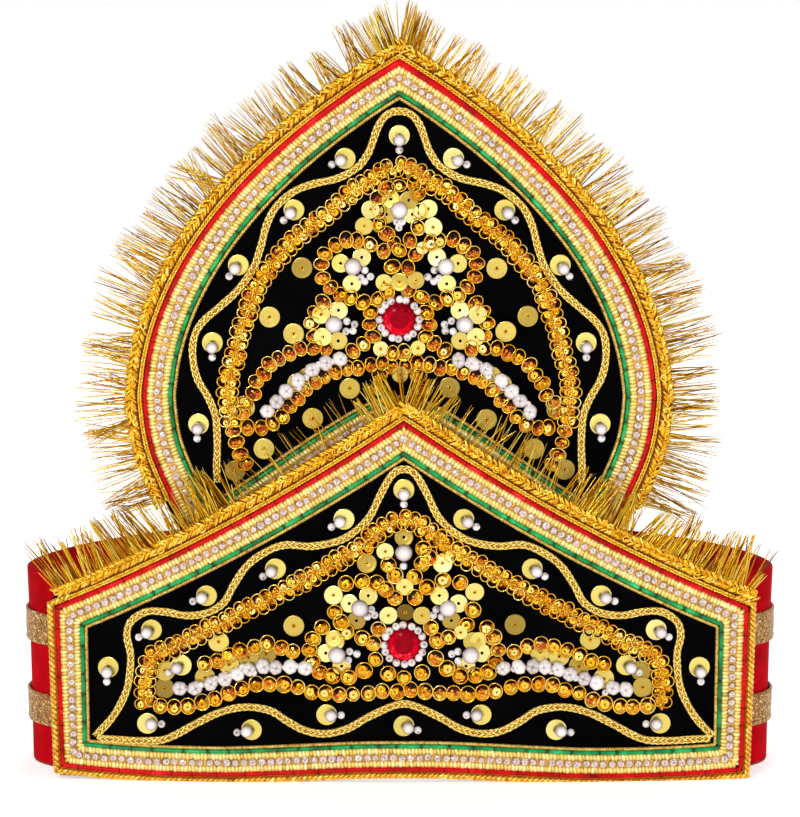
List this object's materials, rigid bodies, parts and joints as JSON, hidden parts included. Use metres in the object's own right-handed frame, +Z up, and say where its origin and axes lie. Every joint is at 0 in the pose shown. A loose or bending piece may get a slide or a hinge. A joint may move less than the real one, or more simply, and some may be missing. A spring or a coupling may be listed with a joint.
{
  "type": "velvet crown",
  "caption": "Upright velvet crown with a low front board, a tall pointed crest board, gold fringe, braid, pearls and ring chains, on a closed head band.",
  "frame": {"origin": "bottom centre of the crown's bounding box, on the surface that it stands on", "axes": "+Z up along the crest, -Y out of the decorated front, +X to the right as seen from the front"},
  "size_m": [0.2212, 0.1472, 0.2227],
  "materials": {
    "black_velvet": "matt cut pile",
    "red_cloth": "plain woven cloth over card",
    "gold_tape": "glittering metallic tape",
    "gold_braid": "metallic thread",
    "gold_tinsel": "flat metallic tinsel strands",
    "red_satin": "satin",
    "green_satin": "satin",
    "crystal_lace": "pale gold gimp with clear cut stones",
    "gold_rings": "polished gold coating",
    "pearl": "pearl lustre",
    "sequin_pearl": "gold sequin under a pearl bead",
    "red_stone": "polished, faceted"
  },
  "bodies": {
    "root": {"crest_crystal_lace": "crystal_lace", "crest_fringe": "gold_tinsel", "crest_gold_edging": "gold_braid", "crest_green_piping": "green_satin", "crest_large_pearl_centre_1": "pearl", "crest_large_pearl_left_2": "pearl", "crest_large_pearl_left_3": "pearl", "crest_large_pearl_right_2": "pearl", "crest_large_pearl_right_3": "pearl", "crest_panel": "black_velvet", "crest_pearl_string_left": "pearl", "crest_pearl_string_right": "pearl", "crest_red_piping": "red_satin", "crest_red_stone": "red_stone", "crest_ring_chain": "gold_rings", "crest_sequin_pearl_centre_1": "sequin_pearl", "crest_sequin_pearl_left_2": "sequin_pearl", "crest_sequin_pearl_left_3": "sequin_pearl", "crest_sequin_pearl_left_4": "sequin_pearl", "crest_sequin_pearl_left_5": "sequin_pearl", "crest_sequin_pearl_left_6": "sequin_pearl", "crest_sequin_pearl_right_2": "sequin_pearl", "crest_sequin_pearl_right_3": "sequin_pearl", "crest_sequin_pearl_right_4": "sequin_pearl", "crest_sequin_pearl_right_5": "sequin_pearl", "crest_sequin_pearl_right_6": "sequin_pearl", "crest_wave_cord": "gold_braid", "front_crystal_lace": "crystal_lace", "front_edge_cord": "gold_braid", "front_fringe": "gold_tinsel", "front_gold_edging": "gold_braid", "front_green_piping": "green_satin", "front_large_pearl_centre_1": "pearl", "front_large_pearl_left_2": "pearl", "front_large_pearl_left_3": "pearl", "front_large_pearl_right_2": "pearl", "front_large_pearl_right_3": "pearl", "front_panel": "black_velvet", "front_pearl_string_left": "pearl", "front_pearl_string_right": "pearl", "front_red_piping": "red_satin", "front_red_stone": "red_stone", "front_ring_chain": "gold_rings", "front_sequin_pearl_centre_1": "sequin_pearl", "front_sequin_pearl_centre_low_7": "sequin_pearl", "front_sequin_pearl_left_2": "sequin_pearl", "front_sequin_pearl_left_3": "sequin_pearl", "front_sequin_pearl_left_4": "sequin_pearl", "front_sequin_pearl_left_5": "sequin_pearl", "front_sequin_pearl_left_6": "sequin_pearl", "front_sequin_pearl_right_2": "sequin_pearl", "front_sequin_pearl_right_3": "sequin_pearl", "front_sequin_pearl_right_4": "sequin_pearl", "front_sequin_pearl_right_5": "sequin_pearl", "front_sequin_pearl_right_6": "sequin_pearl", "front_wave_cord": "gold_braid", "head_band": "red_cloth", "lower_band_tape": "gold_tape", "upper_band_tape": "gold_tape"}
  },
  "joints": []
}
